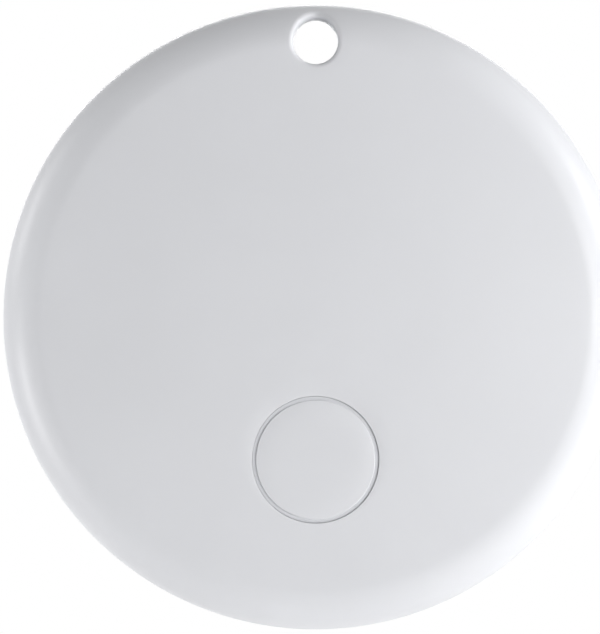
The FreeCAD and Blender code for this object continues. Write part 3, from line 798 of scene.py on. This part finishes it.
# %% [markdown]
# ### Lugs and mark
# Three lugs stand out of the collar. Their faces are picked by height and direction and extruded away
# from the axis. The cover's own mark is the same small dimple as those on the case, and at rest it points
# at the locked one.

# %% Push out the lugs and press the cover's mark
lug_reach, lug_half = 12.2, 12
print("lug faces:", pick(coin_cover, "FACE", lambda face: at_reach(face, hub)
                         and below_rear(lug_bottom) < middle(face).y < below_rear(lug_top)
                         and within(middle(face), 90, 120, lug_half)))
grow(hub, lug_reach)
patch = (270, 3 * 360 / cover_steps, mark_rings[0] * MM, mark_rings[-1] * MM)
press_mark(coin_cover, hub * MM - mark_radius, patch, lambda reach: cover_face)
tidy()


def on_slot_edge(edge):
    """Whether one side of an edge is the cover's face and the other the wall of the slot."""
    flat = [face for face in edge.link_faces if abs(face.normal.y) > 0.9]
    return near_face(edge) and from_axis(middle(edge)) < slot_ring - MM and len(flat) == 1


slot_round = 0.09 * MM
round_edge(coin_cover, on_slot_edge, slot_round, 3)
finish_piece(coin_cover, "battery_cover", "battery_cover")

# %% [markdown]
# ## Button
# The button is a small cap whose face follows the dome of the case. It is spun about its own middle with
# a flat face, which is then moved onto the dome. A step just below its face is the floor of the fine
# groove that rings it, so that the groove reads as a soft grey line, and only a hairline is open beside
# it. The flange under the case's edge keeps the cap in, and two keys on it stop the cap from turning.

# %% Spin the button cap
button_top = front_surface(from_axis(button_middle))
flange_radius, hollow_radius = 4.28 * MM, 2.86 * MM
cap_profile = [(0, button_top), (1.2 * MM, button_top), (2.4 * MM, button_top)]
cap_profile += rounding(button_radius - button_round, button_top + button_round, button_round, 0, 90,
                        round_steps, -1)
cap_profile += [(button_radius, button_top + step_depth), (step_radius, button_top + step_depth),
                (step_radius, flange_top), (flange_radius, flange_top), (flange_radius, flange_bottom),
                (hollow_radius, flange_bottom), (hollow_radius, underside), (0, underside)]
press_button = spun("press_button", button_middle, cap_profile, button_steps)

move_points(press_button, lambda point: point.co.y < button_top + 2 * step_depth,
            lambda spot: spot + Vector((0, front_surface(from_axis(spot)) - button_top, 0)))

# %% [markdown]
# ### Keys
# The two keys that stop the cap from turning grow out of its flange: a few of the flange's outer faces
# are picked on each side and extruded sideways.

# %% Pull out the keys
key_half, key_reach = 0.5 * MM, 0.6 * MM
for side in (-1, 1):
    count = pick(press_button, "FACE", lambda face: abs(face.normal.y) < 0.5
                 and abs(from_button(face.verts[0].co) - flange_radius) < NEAR
                 and abs(middle(face).z - button_middle.z) < key_half
                 and (middle(face).x - button_middle.x) * side > 0)
    extrude((side * key_reach, 0, 0))
    print("key:", count, "faces")
tidy()
finish_piece(press_button, "button", "button_cap")

# %% [markdown]
# ## Finishes
# A finish is worked out from procedural textures on Object coordinates, so it has detail at its real
# scale without any image. A Mapping node first turns metres into millimetres, and every size below is
# then a real one: a grain of 0.1 is a tenth of a millimetre, and a relief of 0.001 is a micron deep. What
# is the same all over the surface stays on the shader's own sockets.

# %% Helpers for finishes
def give(material, socket, value):
    """Gives a socket a value or the output of another node."""
    if isinstance(value, bpy.types.NodeSocket):
        material.node_tree.links.new(value, socket)
    else:
        socket.default_value = value


def feed(material, node, **inputs):
    """Gives a node its inputs by name."""
    for name, value in inputs.items():
        give(material, node.inputs[name.replace("_", " ")], value)
    return node


def add(material, kind, **inputs):
    return feed(material, material.node_tree.nodes.new("ShaderNode" + kind), **inputs)


def dress(material, **inputs):
    """Gives the shader its inputs."""
    feed(material, material.node_tree.nodes["Principled BSDF"], **inputs)


def finish(name, colour, roughness, metallic=0.0, **constants):
    """Starts a material from the constants on its shader."""
    material = bpy.data.materials.new(name)
    material.use_nodes = True
    dress(material, Base_Color=(*colour, 1), Roughness=roughness, Metallic=metallic, **constants)
    return material


def in_mm(material, stretch=(1, 1, 1), centre=(0, 0, 0)):
    """Object coordinates in millimetres from a centre. A stretch above 1 squeezes a pattern that way."""
    coordinates = add(material, "TexCoord")
    scale = [factor / MM for factor in stretch]
    return add(material, "Mapping", Vector=coordinates.outputs["Object"], Scale=scale,
               Location=[-middle * factor for middle, factor in zip(centre, scale)]).outputs["Vector"]


def noise(material, place, size, detail=2.0, roughness=0.5):
    return add(material, "TexNoise", Vector=place, Scale=1 / size, Detail=detail,
               Roughness=roughness).outputs["Fac"]


def cells(material, place, size, feature="F1", metric="EUCLIDEAN"):
    """Distance from the middle of the nearest cell, or from its edge."""
    texture = add(material, "TexVoronoi", Vector=place, Scale=1 / size)
    texture.feature, texture.distance = feature, metric
    return texture.outputs["Distance"]


def spread(material, source, low, high, start=0.3, end=0.7):
    """Turns a texture's values into a range, such as of roughness."""
    return add(material, "MapRange", Value=source, From_Min=start, From_Max=end, To_Min=low,
               To_Max=high).outputs["Result"]


def toned(material, source, colour, low, high, start=0.35, end=0.65):
    """A colour times a factor that a texture moves between low and high."""
    node = add(material, "ValToRGB", Fac=source)
    for element, value, factor in zip(node.color_ramp.elements, (start, end), (low, high)):
        element.position = value
        element.color = (*(min(1.0, channel * factor) for channel in colour), 1)
    return node.outputs["Color"]


def mixed(material, amount, first, second):
    """One colour over another by an amount."""
    mix = add(material, "Mix", Factor=amount)
    mix.data_type = "RGBA"                   # whose sockets A, B and Result come after those for numbers
    give(material, mix.inputs[6], first)
    give(material, mix.inputs[7], second)
    return mix.outputs[2]


def worked_out(material, operation, *values):
    """The result of a Math node."""
    step = add(material, "Math")
    step.operation = operation
    for socket, value in zip(step.inputs, values):
        give(material, socket, value)
    return step.outputs[0]


def relief(material, height, depth, below=None):
    """A raised pattern as deep as it really is. Given another relief, it lies on top of that one."""
    bump = add(material, "Bump", Height=height, Strength=1.0, Distance=depth * MM)
    if below:
        feed(material, bump, Normal=below)
    dress(material, Normal=bump.outputs["Normal"])
    return bump.outputs["Normal"]


# %% [markdown]
# ### Moulded plastic and rubber
# The case comes from a mould whose steel was spark-eroded to a fine satin. That leaves a grain of about
# a tenth of a millimetre, under a micron deep, a slow drift in sheen where the plastic cooled unevenly,
# and hardly any change of tone. With other sizes the same recipe gives the black and the milky parts.

# %% Moulded plastic
def moulded(name, colour, roughness, grain=0.09, depth=0.0008, drift=0.012, **constants):
    material = finish(name, colour, roughness, **constants)
    place = in_mm(material)
    tone = noise(material, place, 9.0)
    sheen = noise(material, place, 2.2, detail=4.0)
    dress(material, Base_Color=toned(material, tone, colour, 1 - drift, 1 + drift, 0.3, 0.7),
          Roughness=spread(material, sheen, roughness - 0.035, roughness + 0.035))
    waves = relief(material, noise(material, place, 1.6), depth * 0.8)
    relief(material, noise(material, place, grain, detail=3.0), depth, waves)
    return material


case_tone = (0.74, 0.748, 0.776)
finishes = {
    "case_white": moulded("satin_case_white", case_tone, 0.42),
    "cover_white": moulded("satin_cover_white", case_tone, 0.42),
    "button_white": moulded("satin_button_white", case_tone, 0.40),
    "gasket_plastic": moulded("natural_nylon", (0.74, 0.73, 0.66), 0.5, 0.15, 0.002, 0.03),
    "switch_black": moulded("switch_black_nylon", (0.03, 0.03, 0.032), 0.55, 0.06, 0.002, 0.15),
    "plunger_plastic": moulded("plunger_grey_acetal", (0.09, 0.09, 0.095), 0.4, 0.05, 0.001, 0.1),
    "chip_black": moulded("chip_epoxy", (0.025, 0.025, 0.028), 0.62, 0.05, 0.003, 0.2),
    "pad_silicone": moulded("milky_silicone", (0.66, 0.67, 0.68), 0.55, 0.2, 0.002, 0.03),
    "seal_rubber": moulded("seal_rubber_black", (0.02, 0.02, 0.021), 0.68, 0.05, 0.004, 0.25),
}
print(len(finishes), "moulded finishes")

# %% [markdown]
# ### Metals
# The coin cell is nickel-plated steel with fine rings from turning, so a wave texture lays rings round
# the disc's axis. Springs, lids and the sounder's brass are rolled sheet: noise that is squeezed across
# the rolling direction makes long fine streaks in sheen and relief. A slow noise adds a little tarnish.

# %% Rolled and turned metal
def rolled(name, colour, roughness, tarnish=0.08, streaks=(1, 30, 30), depth=0.0006):
    material = finish(name, colour, roughness, metallic=1.0)
    streak = noise(material, in_mm(material, streaks), 1.5, detail=4.0, roughness=0.7)
    haze = noise(material, in_mm(material), 1.8, detail=3.0)
    dress(material, Base_Color=toned(material, haze, colour, 1 - tarnish, 1),
          Roughness=spread(material, streak, roughness - 0.07, roughness + 0.09))
    relief(material, streak, depth)
    return material


def turned_steel(name, colour, roughness, pitch=0.06, depth=0.0008):
    material = finish(name, colour, roughness, metallic=1.0)
    place = in_mm(material, centre=disc_middle)
    rings = add(material, "TexWave", Vector=place, Scale=1 / (6 * pitch), Distortion=0.6, Detail=2.0)
    rings.wave_type, rings.rings_direction = "RINGS", "Y"
    haze = noise(material, place, 2.5, detail=3.0)
    dress(material, Base_Color=toned(material, haze, colour, 0.93, 1),
          Roughness=spread(material, rings.outputs["Fac"], roughness - 0.05, roughness + 0.06, 0.0, 1.0))
    relief(material, rings.outputs["Fac"], depth)
    return material


nickel, gold, brass = (0.66, 0.65, 0.63), (0.86, 0.62, 0.26), (0.74, 0.53, 0.22)
finishes |= {
    "cell_steel": turned_steel("turned_nickel_plate", nickel, 0.3),
    "switch_steel": rolled("bright_stamped_steel", (0.68, 0.68, 0.68), 0.22, 0.04),
    "crystal_can": rolled("plated_lid", (0.7, 0.69, 0.66), 0.26, 0.05),
    "contact_steel": rolled("nickel_spring", nickel, 0.28, 0.06, (30, 1, 1)),
    "contact_gold": rolled("gold_plated_spring", gold, 0.25, 0.1, (30, 1, 1)),
    "pad_gold": rolled("gold_flash", gold, 0.35, 0.12, (4, 4, 4), 0.002),
    "sounder_brass": rolled("rolled_brass", brass, 0.33, 0.15),
    "lithium_disc": rolled("dull_lithium", (0.46, 0.46, 0.48), 0.55, 0.3, (6, 6, 6), 0.004),
}
print(len(finishes), "finishes with the metals")

# %% [markdown]
# ### Ceramics, powder, paper and foam
# These are all made of grains or fibres. Cells give the grains of ceramic, of ferrite and of the cell's
# black powder, and the bubbles of the tape. For the paper they are squeezed into fibres.

# %% Grains and fibres
def grained(name, colour, roughness, grain, depth, contrast, metallic=0.0, stretch=(1, 1, 1)):
    material = finish(name, colour, roughness, metallic=metallic)
    place = in_mm(material, stretch)
    grains = cells(material, place, grain)
    cloud = noise(material, place, grain * 8, detail=4.0)
    dress(material, Base_Color=toned(material, cloud, colour, 1 - contrast, 1 + contrast),
          Roughness=spread(material, grains, roughness + 0.06, roughness - 0.06, 0.0, 0.8))
    relief(material, grains, -depth)
    return material


finishes |= {
    "cathode_pellet": grained("pressed_black_powder", (0.035, 0.035, 0.037), 0.85, 0.07, 0.01, 0.4),
    "inductor_ferrite": grained("ferrite", (0.085, 0.085, 0.09), 0.6, 0.05, 0.006, 0.25),
    "antenna_ceramic": grained("white_ceramic", (0.76, 0.76, 0.73), 0.45, 0.06, 0.002, 0.03),
    "sounder_ceramic": grained("silvered_ceramic", (0.72, 0.7, 0.66), 0.42, 0.05, 0.003, 0.06, 0.6),
    "tape_foam": grained("foam_tape", (0.055, 0.055, 0.058), 0.9, 0.12, 0.03, 0.3),
    "separator_paper": grained("fibre_paper", (0.8, 0.8, 0.77), 0.9, 0.16, 0.02, 0.05, stretch=(1, 1, 5)),
}
print(len(finishes), "finishes with the grains")

# %% [markdown]
# ### Chips with tinned ends and the circuit board
# A tiny capacitor or resistor has bright tinned ends that stand a little higher than its middle, so
# height alone tells the two apart. On the board the green mask lies over copper: cells measured along two
# axes give tracks that turn by 45 degrees, and round cells give the small plated holes. Their drilled
# middles are not cut but painted near-black, as painted shade for the depth of a hole. The cut edge of
# the board shows its yellowish glass fibre, picked out by the direction of the face.

# %% Tinned ends
board_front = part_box("circuit_board")[0].y


def tinned(name, colour, height):
    """A ceramic chip whose ends are tinned above a height over the board, in millimetres."""
    material = finish(name, colour, 0.5)
    place = in_mm(material, centre=(0, board_front, 0))
    along = add(material, "SeparateXYZ", Vector=place).outputs["Y"]
    tin = spread(material, along, 1.0, 0.0, -height - 0.002, -height + 0.002)
    cloud = noise(material, place, 0.2, detail=3.0)
    body = toned(material, cloud, colour, 0.85, 1.1)
    dress(material, Metallic=tin, Base_Color=mixed(material, tin, body, (0.62, 0.62, 0.61, 1)),
          Roughness=spread(material, cloud, 0.35, 0.5))
    relief(material, cloud, 0.003)
    return material


finishes["capacitor_tan"] = tinned("tan_ceramic_chip", (0.33, 0.2, 0.11), 0.475)
finishes["resistor_black"] = tinned("black_glazed_chip", (0.03, 0.03, 0.032), 0.335)


# %% Solder mask over copper
def solder_mask(name):
    mask = (0.008, 0.1, 0.045)
    material = finish(name, mask, 0.3, Coat_Weight=0.4, Coat_Roughness=0.12)
    flat = in_mm(material, (1, 0.001, 1))
    tracks = cells(material, flat, 1.7, metric="MANHATTAN")
    track = spread(material, worked_out(material, "PINGPONG", tracks, 0.11), 0.0, 1.0, 0.05, 0.06)
    holes = cells(material, flat, 2.3)
    plated = spread(material, holes, 1.0, 0.0, 0.085, 0.095)
    # The drilled middle of each hole is painted near-black: painted shade that stands in for the depth of
    # a hole.
    painted_hole_shade = spread(material, holes, 1.0, 0.0, 0.05, 0.055)
    facing = add(material, "TexCoord").outputs["Normal"]
    facing = add(material, "SeparateXYZ", Vector=facing).outputs["Y"]
    cut_edge = spread(material, worked_out(material, "ABSOLUTE", facing), 1.0, 0.0, 0.4, 0.6)
    colour = (*mask, 1)
    for amount, tone in ((track, (0.02, 0.2, 0.085)), (plated, (0.6, 0.58, 0.5)),
                         (painted_hole_shade, (0.01, 0.01, 0.01)), (cut_edge, (0.42, 0.4, 0.2))):
        colour = mixed(material, amount, colour, (*tone, 1))
    weave = noise(material, in_mm(material), 0.25, detail=3.0)
    dress(material, Base_Color=colour, Roughness=spread(material, weave, 0.26, 0.36))
    relief(material, weave, 0.002, relief(material, track, 0.02))
    return material


finishes["board_green"] = solder_mask("green_solder_mask")
print(len(finishes), "finishes in all")

# %% [markdown]
# ## Giving out the finishes
# The record names a finish for every node. Each of them gets its material in its object's slots, and
# each new piece takes the same material as the node it stands for.

# %% Give out the finishes
for row in frame["record"]["subparts"]:
    node = frame["nodes"][row["node"]]
    for holder in node.material_slots:
        holder.material = finishes[row["material_slot"]]
for piece, slot in ((case_front, "case_white"), (case_rear, "case_white"), (coin_cover, "cover_white"),
                    (press_button, "button_white")):
    piece.data.materials.clear()
    piece.data.materials.append(finishes[slot])
print(len(frame["nodes"]), "nodes and 4 new pieces have their finish")

# %% [markdown]
# ## Camera
# A very long lens, a metre away, looks straight at the front face. The disc then shows as a true circle,
# and the cord hole shows no wall. The disc is a little wider than the view and sits off its middle, so
# the rim runs out of view on the right. The distance follows from that share.

# %% Camera
lens, sensor = 1000.0, 36.0
disc_share = 1.0447          # the disc's width as a share of the view's
aside = Vector((-0.946, 0, 0.006)) * MM      # from the disc's middle
distance = 2 * disc_radius / disc_share * lens / sensor
bpy.ops.object.camera_add(rotation=(math.pi / 2, 0, 0))
camera = bpy.context.object
camera.data.lens, camera.data.sensor_width, camera.data.sensor_fit = lens, sensor, "HORIZONTAL"
camera.location = Vector((disc_middle.x, front - distance, disc_middle.z)) + aside
camera.data.clip_start, camera.data.clip_end = 0.05, 20
bpy.context.scene.camera = camera
print("camera", round(distance, 3), "m away")

# %% [markdown]
# ## Floor and world
# The tag hangs well above a pale floor, which catches its soft shadow and sends some light up to the
# bottom of the rim. Both the floor and the world look white to the camera, in gloss and through clear
# things, because a Light Path node gives those rays their own strength. All other rays meet a dim world
# and a plain pale floor, so the whiteness of the background adds no light to the tag.

# %% Floor and world
floor_drop = 0.3
around_level = 0.2           # of full light, for all rays but those that see it directly
floor_lift = 0.84            # what the floor glows by where it is seen directly
bpy.ops.object.select_all(action="DESELECT")
bpy.ops.mesh.primitive_plane_add(size=8, location=(0, 0, frame_low.z - floor_drop))
floor = bpy.context.object
floor.name = "floor"
bpy.ops.object.transform_apply(location=True)


def seen_directly(owner):
    """1 for what the camera sees, by itself, in gloss or through something clear, and 0 otherwise."""
    path = add(owner, "LightPath")
    seen = path.outputs["Is Camera Ray"]
    for other in ("Is Glossy Ray", "Is Transmission Ray"):
        seen = worked_out(owner, "MAXIMUM", seen, path.outputs[other])
    return seen


world = bpy.data.worlds.new("studio")
bpy.context.scene.world = world
world.use_nodes = True
feed(world, world.node_tree.nodes["Background"], Color=(1, 1, 1, 1),
     Strength=spread(world, seen_directly(world), around_level, 1.0, 0.0, 1.0))

ground = finish("pale_floor", (0.8, 0.8, 0.8), 0.9)
dress(ground, Emission_Color=(1, 1, 1, 1),
      Emission_Strength=spread(ground, seen_directly(ground), 0.0, floor_lift, 0.0, 1.0))
floor.data.materials.append(ground)

# %% [markdown]
# ## Lamps
# Five soft lamps stand round the tag. Three on the right brighten that side of the rim. The two on the
# left give less in all, so its upper left stays darker. That is what makes the dome and the rounding
# readable on a white object. A sixth lamp behind lights the rear face. None of them shows to the camera.

# %% Lamps
lamp_distance = 0.7


def lamp(name, share, lift_angle, around_angle, width, height):
    """A soft lamp. Its direction is an angle out of the disc's plane towards the camera, and one round
    the disc. Its share is the part of full light that it gives a surface that faces it."""
    lift_turn, around_turn = math.radians(lift_angle), math.radians(around_angle)
    towards = Vector((math.cos(lift_turn) * math.cos(around_turn), -math.sin(lift_turn),
                      math.cos(lift_turn) * math.sin(around_turn)))
    bpy.ops.object.light_add(type="AREA", location=disc_middle + towards * lamp_distance,
                             rotation=towards.to_track_quat("Z", "Y").to_euler())
    light = bpy.context.object
    light.name = name
    light.data.shape = "RECTANGLE"
    light.data.size, light.data.size_y = width, height
    light.data.energy = share * (math.pi * lamp_distance) ** 2
    light.visible_camera = False
    print(name, "gives", share, "of full light")


lamp("face_lamp", 0.49, 55, 4, 0.3, 0.1)
lamp("upper_right_lamp", 0.38, 8, 20, 0.25, 0.25)
lamp("lower_right_lamp", 0.31, 8, 345, 0.25, 0.1)
lamp("lower_left_lamp", 0.34, 8, 195, 0.25, 0.1)
lamp("left_rim_lamp", 0.27, -12, 160, 0.25, 0.25)
lamp("rear_lamp", 0.40, -78, 80, 0.4, 0.4)

# %% [markdown]
# ## Colour view
# Colours are shown as they are, without a film look.

# %% Show colours as they are
bpy.context.scene.view_settings.view_transform = "Standard"
